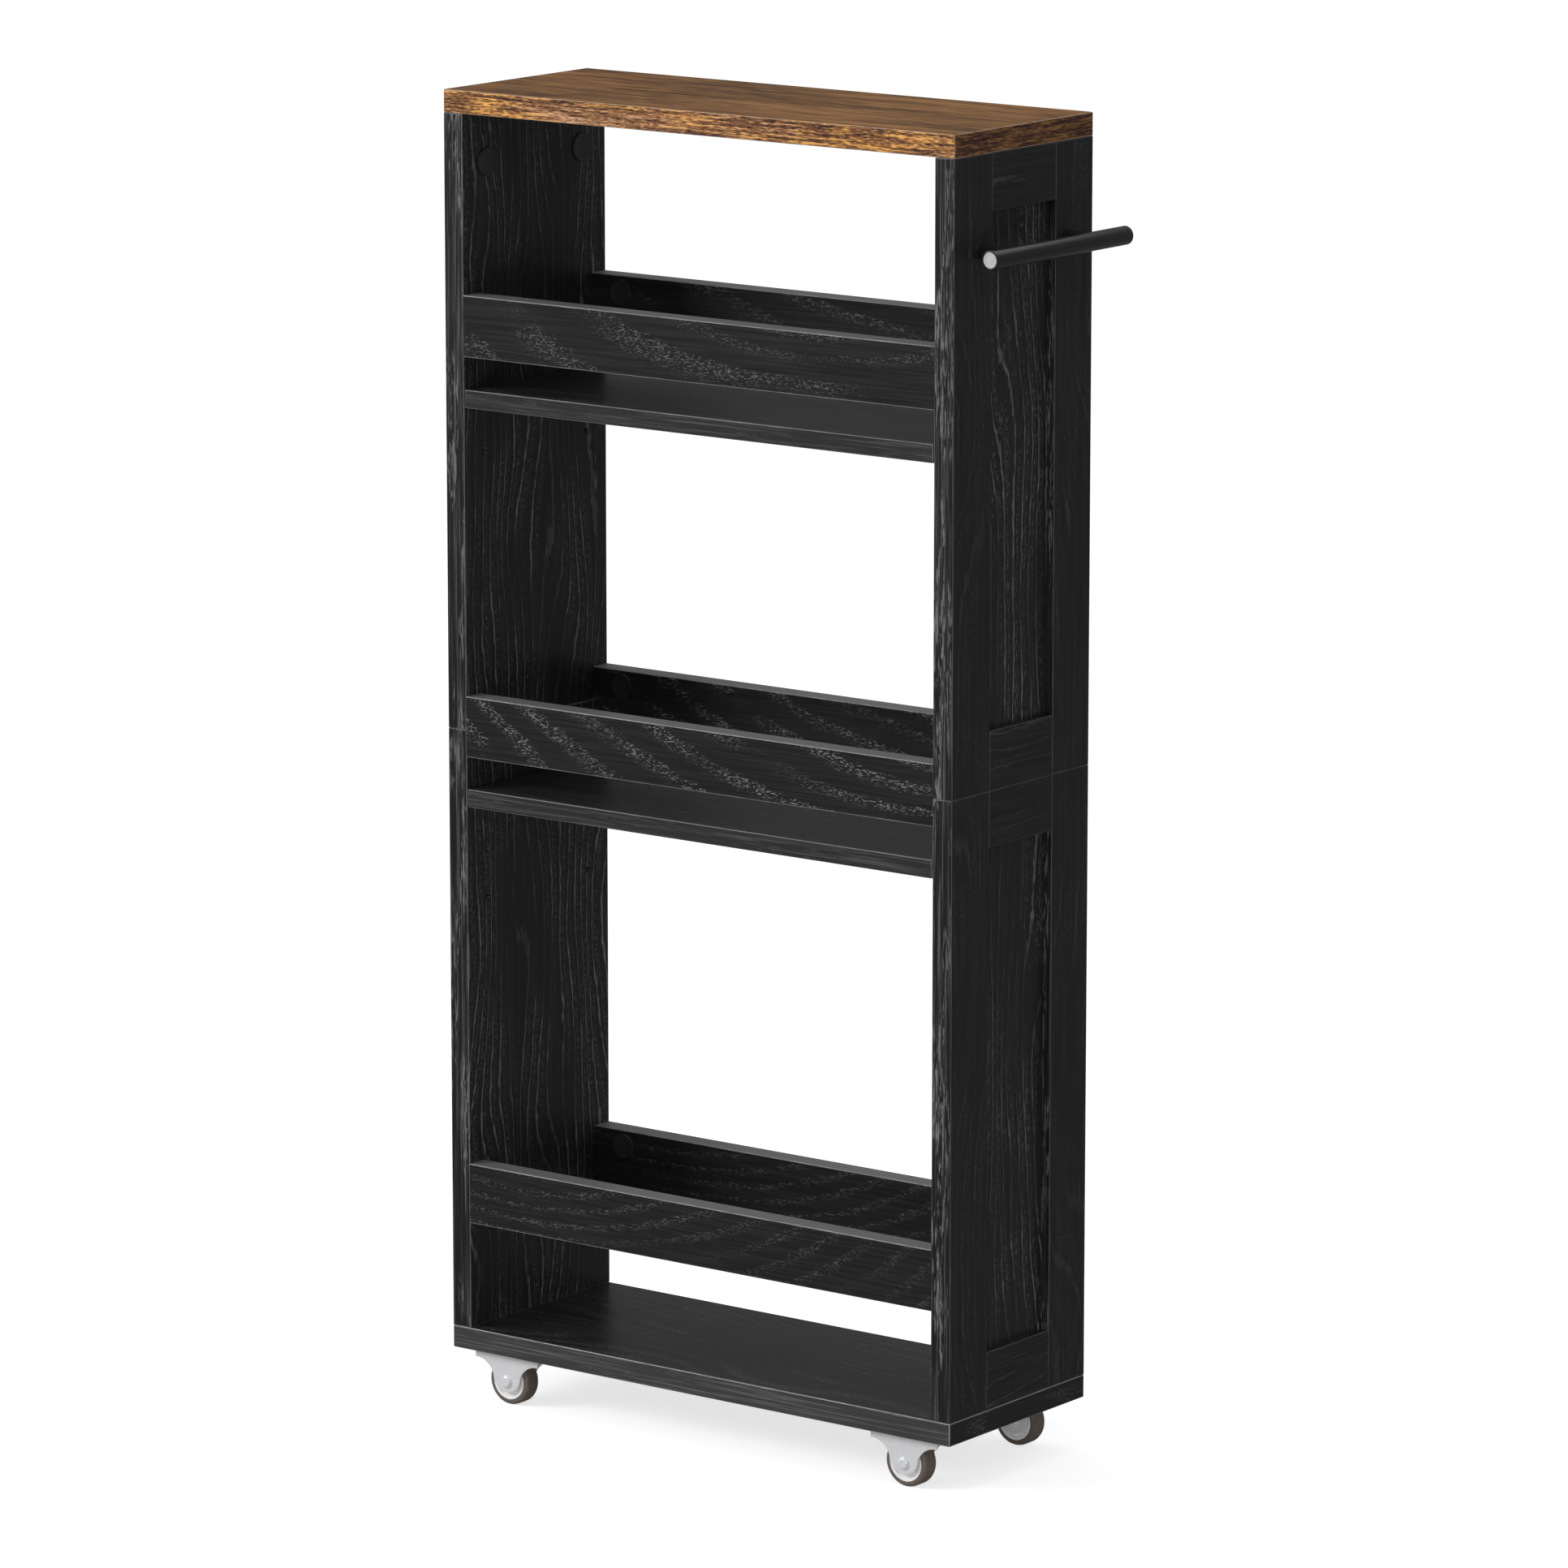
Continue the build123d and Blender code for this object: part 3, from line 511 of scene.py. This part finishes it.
low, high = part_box("guard_cam_caps")
profile = cap_profile(GUARD_CAP_RADIUS)
grids = []
for tier in ("lower", "middle", "upper"):
    guard_low, guard_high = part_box(f"{tier}_front_guard")
    rear_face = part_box(f"{tier}_rear_guard")[0].y
    height = (guard_low.z + guard_high.z) / 2 + GUARD_CAM_RISE
    for x in (low.x + GUARD_CAP_RADIUS, high.x - GUARD_CAP_RADIUS):
        grids.append(turned(profile, (x, guard_high.y, height), (0, 1, 0), 56))
        grids.append(turned(profile, (x, rear_face, height), (0, -1, 0), 56))
piece("guard_caps", grids, cap_plastic, "frame", ("guard_cam_caps",))

# ------------------------------------------------------------------------------ base screws
# Four long zinc-plated screws come up through the base into the sides, with flat heads sunk flush
# in its underside and hexagonal sockets for a key.

screw_steel = plated_steel("screw_steel", (0.62, 0.63, 0.65, 1), 0.24)


def socket_head(profile, centre, axis, depth, reach, arms, turns=48):
    """A turned screw whose head has a driver socket. Past the profile's last point, at radius R, the face
    goes to its middle on circles r; it sinks by depth wherever r is inside the socket's outline,
    reach * cos(pi / n) / cos(a mod 2 pi / n - pi / n) for a hexagon, or four narrow arms for a cross."""
    body = turned(profile, centre, axis, turns)
    radius, top = profile[-1]
    angle = np.linspace(0, 2 * np.pi, turns, endpoint=False)
    if arms == 6:
        outline = reach * np.cos(np.pi / 6) / np.cos(angle % (np.pi / 3) - np.pi / 6)
    else:
        outline = reach * (0.34 + 0.66 * np.clip(np.cos(4 * angle) * 1.6, 0, 1) ** 0.6)
    axis = np.asarray(axis, float)
    first, second = np.roll(axis, 1), np.cross(axis, np.roll(axis, 1))
    ring = np.cos(angle)[:, None] * first + np.sin(angle)[:, None] * second
    share = np.array([1.0, 1.0, 0.94, 0.5, 0.0])[:, None, None]
    sunk = np.array([0.0, 0.05, 1.0, 1.08, 1.15])[:, None, None]
    height = top - depth * sunk * np.sign(top or 1)
    socket = np.asarray(centre) + height * axis + outline[:, None] * share * ring
    return np.concatenate([body, socket])


low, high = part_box("base_screws")
SCREW_RADIUS, SCREW_HEAD_RADIUS, SCREW_HEAD_HEIGHT, SCREW_TIP = 0.0025, 0.005, 0.004, 0.004
SCREW_HEAD_RIM, SCREW_HEAD_CHAMFER = 0.0004, 0.0003
BASE_SOCKET_DEPTH, BASE_SOCKET_REACH = 0.0022, 0.0022
length = high.z - low.z
profile = np.array([(0, length), (SCREW_RADIUS * 0.5, length), (SCREW_RADIUS, length - SCREW_TIP),
                    (SCREW_RADIUS, SCREW_HEAD_HEIGHT), (SCREW_HEAD_RADIUS, SCREW_HEAD_RIM),
                    (SCREW_HEAD_RADIUS - SCREW_HEAD_CHAMFER, 0)])
grids = [socket_head(profile, (x, y, low.z), (0, 0, 1), -BASE_SOCKET_DEPTH, BASE_SOCKET_REACH, 6)
         for x in (low.x + SCREW_HEAD_RADIUS, high.x - SCREW_HEAD_RADIUS)
         for y in (low.y + SCREW_HEAD_RADIUS, high.y - SCREW_HEAD_RADIUS)]
piece("base_screws_turned", grids, screw_steel, "frame", ("base_screws",))

# ------------------------------------------------------------------------------ handle
# A 12 mm steel tube on two coped posts, powder-coated satin black, with light grey plugs in its
# ends; their pale grey is partly the plastic's own and partly a painted highlight. Two pan-head screws
# hold it from inside the right side.


def powder_coat(name):
    """Satin black powder coat: fine orange peel, and gloss that varies a little."""
    finish, tree, shader = new_finish(name)
    place = add(tree, "TexCoord", output=3)
    peel = noise(tree, place, 900, 2.0, 0.5)
    cloud = noise(tree, place, 120, 2.0)
    join(tree, shader, Base_Color=tint(tree, cloud, (0.009, 0.009, 0.010, 1), (0.014, 0.014, 0.015, 1)),
         Roughness=reckon(tree, "MULTIPLY_ADD", cloud, 0.10, 0.20),
         Normal=add(tree, "Bump", {"Strength": 0.25, "Distance": 0.00004, "Height": peel}))
    return finish


coat = powder_coat("black_powder_coat")
low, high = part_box("handle_bar")
bar_radius = (high.z - low.z) / 2
bar_x, bar_z = high.x - bar_radius, (low.z + high.z) / 2
TUBE_WALL = 0.001
bore = bar_radius - TUBE_WALL
bar_length = high.y - low.y
profile = rounded([(bar_radius, 0), (bar_radius, bar_length), (bore, bar_length), (bore, 0)],
                  [0.0006, 0.0006, 0.0003, 0.0003])
piece("handle_tube", [turned(profile, (bar_x, low.y, bar_z), (0, 1, 0), 64)], coat, "frame",
      ("handle_bar",), loop=True)

plug_low, plug_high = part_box("handle_plugs")
plug_radius = (plug_high.z - plug_low.z) / 2
PLUG_LENGTH, PLUG_RIM, PLUG_SLOPE, PLUG_DISH, PLUG_CROWN = 0.008, 0.0011, 0.0004, 0.00035, 0.0001
rim_radius = plug_radius - PLUG_RIM
profile = rounded([(0, PLUG_LENGTH), (plug_radius, PLUG_LENGTH), (plug_radius, 0), (rim_radius, 0),
                   (rim_radius - PLUG_SLOPE, PLUG_DISH), (0, PLUG_CROWN)],
                  [0, 0.0005, 0.0004, 0.0002, 0, 0])
# The plugs' pale grey is partly their own plastic and partly a painted highlight on the tube's end.
piece("handle_end_plugs", [turned(profile, (bar_x, plug_low.y, bar_z), (0, 1, 0), 48),
                           turned(profile, (bar_x, plug_high.y, bar_z), (0, -1, 0), 48)],
      moulded("plug_plastic_and_highlight", (0.52, 0.52, 0.53, 1), 0.30), "frame", ("handle_plugs",))

post_low, post_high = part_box("handle_posts")
post_radius = (post_high.z - post_low.z) / 2


def coped_post(y):
    """A round post from the side to the bar: at angle a it ends at
    x = bar_x - sqrt(bar_radius^2 - (r sin a)^2), on the bar's own surface."""
    angle = np.linspace(0, 2 * np.pi, 48, endpoint=False)
    radius = np.array([0, 0.93, 1, 1, 1, 0.5, 0])[:, None] * post_radius
    along = np.array([0, 0, 0.03, 0.5, 1, 1, 1])[:, None]
    end = bar_x - np.sqrt(bar_radius ** 2 - (radius * np.sin(angle)) ** 2)
    x = post_low.x + along * (end - post_low.x)
    return np.stack([x, y + radius * np.cos(angle), bar_z + radius * np.sin(angle)], -1)


piece("handle_coped_posts", [coped_post(post_low.y + post_radius), coped_post(post_high.y - post_radius)],
      coat, "frame", ("handle_posts",))

low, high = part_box("handle_screws")
HANDLE_HEAD_RADIUS, HANDLE_HEAD_HEIGHT, HANDLE_SHANK = 0.004, 0.0024, 0.002
HANDLE_HEAD_RIM, HANDLE_HEAD_FLAT = 0.0003, 0.0024
HANDLE_SOCKET_DEPTH, HANDLE_SOCKET_REACH = 0.0014, 0.0018
length = high.x - low.x
profile = rounded([(0, length), (HANDLE_SHANK, length), (HANDLE_SHANK, HANDLE_HEAD_HEIGHT),
                   (HANDLE_HEAD_RADIUS, HANDLE_HEAD_HEIGHT), (HANDLE_HEAD_RADIUS, HANDLE_HEAD_RIM),
                   (HANDLE_HEAD_FLAT, 0)],
                  [0, 0.0004, 0, 0.0002, 0.0012, 0])
grids = [socket_head(profile, (low.x, y, (low.z + high.z) / 2), (1, 0, 0), -HANDLE_SOCKET_DEPTH,
                     HANDLE_SOCKET_REACH, 4)
         for y in (low.y + HANDLE_HEAD_RADIUS, high.y - HANDLE_HEAD_RADIUS)]
piece("handle_screws_turned", grids, screw_steel, "frame", ("handle_screws",))

# ------------------------------------------------------------------------------ casters
# Four small plate casters. A folded sheet of zinc-plated steel holds a riveted axle; a glossy
# white hub runs on it inside a soft grey-brown tyre. Four pan-head screws hold each plate.

SHEET, FOLD_RADIUS, RIM_ROUND = 0.0012, 0.0022, 0.0003
EDGE_HEIGHT = 0.0055
WAIST_IN, WAIST_DOWN = 0.0104, 0.0033
LOBE_RADIUS, LOBE_BELOW_AXLE = 0.0112, 0.0075
bracket_zinc = plated_steel("bracket_zinc", (0.88, 0.885, 0.895, 1), 0.26, metallic=0.25)
rivet_steel = plated_steel("rivet_steel", (0.95, 0.955, 0.965, 1), 0.16, metallic=0.3)
hub_white = moulded("hub_plastic", (0.97, 0.97, 0.96, 1), 0.14, 0.00002, 0.6)


def tyre_rubber(name):
    """Soft grey-brown rubber: matt and faintly dusty."""
    finish, tree, shader = new_finish(name)
    place = add(tree, "TexCoord", output=3)
    dust = noise(tree, place, 220, 4.0, 0.65)
    grain = noise(tree, place, 1800, 2.0)
    join(tree, shader, Base_Color=tint(tree, dust, (0.115, 0.085, 0.068, 1), (0.170, 0.134, 0.112, 1)),
         Roughness=reckon(tree, "MULTIPLY_ADD", dust, 0.18, 0.42),
         Normal=add(tree, "Bump", {"Strength": 0.3, "Distance": 0.00006, "Height": grain}))
    return finish


rubber = tyre_rubber("tyre_rubber")


def leg_outline(half_length, top, shoulder, lobe_centre):
    """A leg's (half width, height) from its lobe's lowest point up: the lobe's quarter circle, the waist's
    arc through three points, and the straight edge."""
    angle = np.linspace(0, np.pi / 2, 14)
    lobe = np.stack([LOBE_RADIUS * np.sin(angle), lobe_centre - LOBE_RADIUS * np.cos(angle)], -1)
    start = complex(LOBE_RADIUS, lobe_centre)
    waist = complex(half_length - WAIST_IN, shoulder - WAIST_DOWN)
    end = complex(half_length, shoulder)
    turn = (end - start) / (waist - start)
    centre = start + (waist - start) * (turn - abs(turn) ** 2) / (turn - turn.conjugate())
    first, last = np.angle(start - centre), np.angle(end - centre)
    sweep = (last - first + np.pi) % (2 * np.pi) - np.pi
    arc = centre + abs(start - centre) * np.exp(1j * (first + sweep * np.linspace(0, 1, 14)[1:]))
    arc = arc[:np.argmax(arc.imag) + 1]
    edge_height = np.linspace(shoulder, top, 4)
    edge = np.stack([np.full(4, half_length), edge_height], -1)
    return np.concatenate([lobe, np.stack([arc.real, arc.imag], -1), edge])


def folded_bracket(low, high, axle_height):
    """A folded sheet. Its path goes up one leg, round a fold, over the plate, round a fold and down the
    other leg. Round each place on the path runs a loop: out along the outer face, over the rim, and back
    along the inner face. A point of it stands at x = middle + t * half width, and as deep in the sheet as
    the rim's rounding, e - sqrt(e^2 - (e - d)^2) at a distance d < e from the sheet's edge."""
    half_length, middle = (high.x - low.x) / 2, (low.x + high.x) / 2
    lobe_centre = axle_height - LOBE_BELOW_AXLE + LOBE_RADIUS
    leg = leg_outline(half_length, high.z - FOLD_RADIUS, high.z - EDGE_HEIGHT, lobe_centre)
    bend = np.linspace(0, np.pi / 2, 9)[1:]
    half_width = np.concatenate([leg[:, 0], np.full(len(bend), half_length)])
    height = np.concatenate([leg[:, 1], high.z - FOLD_RADIUS + FOLD_RADIUS * np.sin(bend)])
    place_y = np.concatenate([np.full(len(leg), low.y), low.y + FOLD_RADIUS - FOLD_RADIUS * np.cos(bend)])
    inward = np.concatenate([np.tile((1.0, 0.0), (len(leg), 1)),
                             np.stack([np.cos(bend), -np.sin(bend)], -1)])
    half_width, height = (np.concatenate([line, line[::-1]]) for line in (half_width, height))
    place_y = np.concatenate([place_y, low.y + high.y - place_y[::-1]])
    inward = np.concatenate([inward, inward[::-1] * (-1, 1)])

    margin = RIM_ROUND * np.array([0, 0.1, 0.3, 0.6, 1.0])
    one_face = np.concatenate([-1 + margin / half_length, np.linspace(-0.9, 0.9, 9),
                               1 - margin[::-1] / half_length])
    x = half_width[:, None] * one_face
    below_lobe = np.hypot(x, np.maximum(lobe_centre - height[:, None], 0))
    from_edge = np.where(height[:, None] < lobe_centre, LOBE_RADIUS - below_lobe,
                         half_width[:, None] - abs(x))
    from_edge = np.clip(from_edge, 0, RIM_ROUND)
    depth = RIM_ROUND - np.sqrt(RIM_ROUND ** 2 - (RIM_ROUND - from_edge) ** 2)
    x = np.concatenate([x, x[:, ::-1]], 1)
    depth = np.concatenate([depth, SHEET - depth[:, ::-1]], 1)
    return np.stack([middle + x, place_y[:, None] + depth * inward[:, :1],
                     height[:, None] + depth * inward[:, 1:]], -1)


HUB_RADIUS, HUB_BORE, BOSS_RADIUS, RIM_WALL, WEB_SUNK = 0.0125, 0.00255, 0.006, 0.0022, 0.0012
AXLE_RADIUS, DIMPLE_RADIUS, DIMPLE_DEPTH = 0.0025, 0.0012, 0.0004
TYRE_SHOULDER, TYRE_FOOT = 0.0028, 0.0002
PLACES = ("front_left", "front_right", "rear_left", "rear_right")
for place in PLACES:
    low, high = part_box(f"{place}_bracket")
    wheel_low, wheel_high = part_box(f"{place}_wheel")
    tyre_low, tyre_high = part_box(f"{place}_tyre")
    axle_low, axle_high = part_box(f"{place}_axle")
    centre = (wheel_low + wheel_high) / 2

    piece(f"{place}_folded_bracket", [folded_bracket(low, high, centre.z)], bracket_zinc, "frame",
          (f"{place}_bracket",))

    rivet_radius, leg = (axle_high.z - axle_low.z) / 2, (high.y - low.y) / 2
    end = axle_high.y - centre.y
    half = rounded([(AXLE_RADIUS, leg), (rivet_radius, leg), (rivet_radius, end - 0.0001),
                    (DIMPLE_RADIUS, end), (0, end - DIMPLE_DEPTH)], [0, 0.0002, 0.0015, 0.0005, 0])
    profile = np.concatenate([half[::-1], half * (1, -1)])
    piece(f"{place}_riveted_axle", [turned(profile, centre, (0, 1, 0), 40)], rivet_steel, "frame",
          (f"{place}_axle",))

    side, boss = (tyre_high.y - tyre_low.y) / 2, (wheel_high.y - wheel_low.y) / 2
    web, rim = side - WEB_SUNK, HUB_RADIUS - RIM_WALL
    half = rounded([(HUB_BORE, boss), (BOSS_RADIUS, boss), (BOSS_RADIUS, web), (rim, web), (rim, side),
                    (HUB_RADIUS, side)], [0.0003, 0.0005, 0.0005, 0.0006, 0.0005, 0.0004])
    profile = np.concatenate([half, half[::-1] * (1, -1)])
    body = f"{place}_wheel_set"
    piece(f"{place}_hub", [turned(profile, centre, (0, 1, 0), 72)], hub_white, body,
          (f"{place}_wheel",), loop=True)

    tread = (tyre_high.z - tyre_low.z) / 2
    profile = rounded([(HUB_RADIUS, -side), (tread, -side), (tread, side), (HUB_RADIUS, side)],
                      [TYRE_FOOT, TYRE_SHOULDER, TYRE_SHOULDER, TYRE_FOOT], 9)
    piece(f"{place}_soft_tyre", [turned(profile, centre, (0, 1, 0), 96)], rubber, body,
          (f"{place}_tyre",), loop=True)

low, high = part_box("caster_screws")
CASTER_HEAD_RADIUS, CASTER_HEAD_HEIGHT, CASTER_SHANK = 0.003, 0.0018, 0.00175
CASTER_HEAD_RIM, CASTER_HEAD_FLAT, CASTER_SCREW_TIP = 0.0002, 0.0018, 0.002
CASTER_SCREW_ALONG, CASTER_SCREW_ACROSS = 0.0205, 0.0038
CASTER_SOCKET_DEPTH, CASTER_SOCKET_REACH = 0.0012, 0.0015
length = high.z - low.z
profile = rounded([(0, length), (CASTER_SHANK, length - CASTER_SCREW_TIP),
                   (CASTER_SHANK, CASTER_HEAD_HEIGHT), (CASTER_HEAD_RADIUS, CASTER_HEAD_HEIGHT),
                   (CASTER_HEAD_RADIUS, CASTER_HEAD_RIM), (CASTER_HEAD_FLAT, 0)],
                  [0, 0, 0, 0.0002, 0.0009, 0])
grids = []
for place in PLACES:
    plate_low, plate_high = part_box(f"{place}_bracket")
    middle = (plate_low + plate_high) / 2
    for x in (middle.x - CASTER_SCREW_ALONG, middle.x + CASTER_SCREW_ALONG):
        for y in (middle.y - CASTER_SCREW_ACROSS, middle.y + CASTER_SCREW_ACROSS):
            grids.append(socket_head(profile, (x, y, low.z), (0, 0, 1), -CASTER_SOCKET_DEPTH,
                                     CASTER_SOCKET_REACH, 4, 32))
piece("caster_screws_turned", grids, screw_steel, "frame", ("caster_screws",))

# ------------------------------------------------------------------------------ floor, light, camera
# A pale studio floor that is clear from below, and even daylight all round. A large soft light
# stands high at the front left, a long one hangs above, and a low one at the front right reaches
# the casters.

FLOOR_GREY, FLOOR_GLOW, FLOOR_SIZE = (0.55, 0.55, 0.55, 1), 0.72, 120
floor_finish, tree, shader = new_finish("studio_floor")
seen = add(tree, "LightPath")
join(tree, shader, Base_Color=FLOOR_GREY, Roughness=0.9, Specular_IOR_Level=0.0,
     Emission_Color=(1, 1, 1, 1), Emission_Strength=reckon(tree, "MULTIPLY", seen, FLOOR_GLOW))
from_below = add(tree, "NewGeometry", output="Backfacing")
clear = add(tree, "BsdfTransparent")
tree.links.new(add(tree, "MixShader", (from_below, shader.outputs[0], clear)),
               tree.nodes["Material Output"].inputs["Surface"])
bpy.ops.mesh.primitive_plane_add(size=FLOOR_SIZE)
floor = bpy.context.object
floor.name = "studio_floor"
floor.data.materials.append(floor_finish)
floor.visible_glossy = False

AMBIENT, SEEN_BACKGROUND = 0.55, 1.0
REFLECTED_FLOOR, REFLECTED_WALLS, REFLECTED_CEILING = 0.15, 0.18, 1.1
world = bpy.data.worlds.new("studio")
bpy.context.scene.world = world
world.use_nodes = True
tree = world.node_tree
rays = tree.nodes.new("ShaderNodeLightPath").outputs
height = tree.nodes.new("ShaderNodeSeparateXYZ")
tree.links.new(add(tree, "TexCoord"), height.inputs[0])
reflected = ramp(tree, height.outputs["Z"], 0.0, 0.16, REFLECTED_FLOOR - AMBIENT,
                 REFLECTED_WALLS - AMBIENT)
ceiling = ramp(tree, height.outputs["Z"], 0.50, 0.66, 0.0, REFLECTED_CEILING - REFLECTED_WALLS)
reflected = reckon(tree, "ADD", reflected, ceiling)
strength = reckon(tree, "MULTIPLY_ADD", rays["Is Camera Ray"], SEEN_BACKGROUND - AMBIENT, AMBIENT)
strength = reckon(tree, "MULTIPLY_ADD", rays["Is Glossy Ray"], reflected, strength)
tree.nodes["Background"].inputs["Color"].default_value = (1, 1, 1, 1)
tree.links.new(strength, tree.nodes["Background"].inputs["Strength"])


def soft_light(name, place, aim, width, height, power):
    """A rectangular soft light at a place, turned to its aim."""
    lamp = bpy.data.lights.new(name, "AREA")
    lamp.shape, lamp.size, lamp.size_y, lamp.energy = "RECTANGLE", width, height, power
    made = bpy.data.objects.new(name, lamp)
    made.location = place
    made.rotation_euler = (Vector(aim) - Vector(place)).to_track_quat("-Z", "Y").to_euler()
    bpy.context.scene.collection.objects.link(made)


middle = (cad_low + cad_high) / 2
soft_light("key", (-2.5, -2.6, 2.0), middle, 1.8, 1.2, 84)
soft_light("overhead", (0.1, 0.2, 2.6), middle, 1.6, 1.0, 7)
soft_light("low_fill", (1.0, -1.7, 0.22), (0, 0, 0.02), 0.7, 0.30, 6)

LENS, SENSOR = 191.6, 36
AZIMUTH, ELEVATION, DISTANCE = math.radians(36.87), math.radians(11.40), 5.343
aim = Vector((-0.0007, 0, 0.4263))
ahead = Vector((-math.sin(AZIMUTH) * math.cos(ELEVATION), math.cos(AZIMUTH) * math.cos(ELEVATION),
                -math.sin(ELEVATION)))
lens = bpy.data.cameras.new("camera")
lens.lens, lens.sensor_width = LENS, SENSOR
lens.clip_start, lens.clip_end = 0.1, 200
camera = bpy.data.objects.new("camera", lens)
camera.location = aim - ahead * DISTANCE
camera.rotation_euler = ahead.to_track_quat("-Z", "Y").to_euler()
bpy.context.scene.collection.objects.link(camera)
bpy.context.scene.camera = camera
bpy.context.scene.view_settings.view_transform = "Standard"
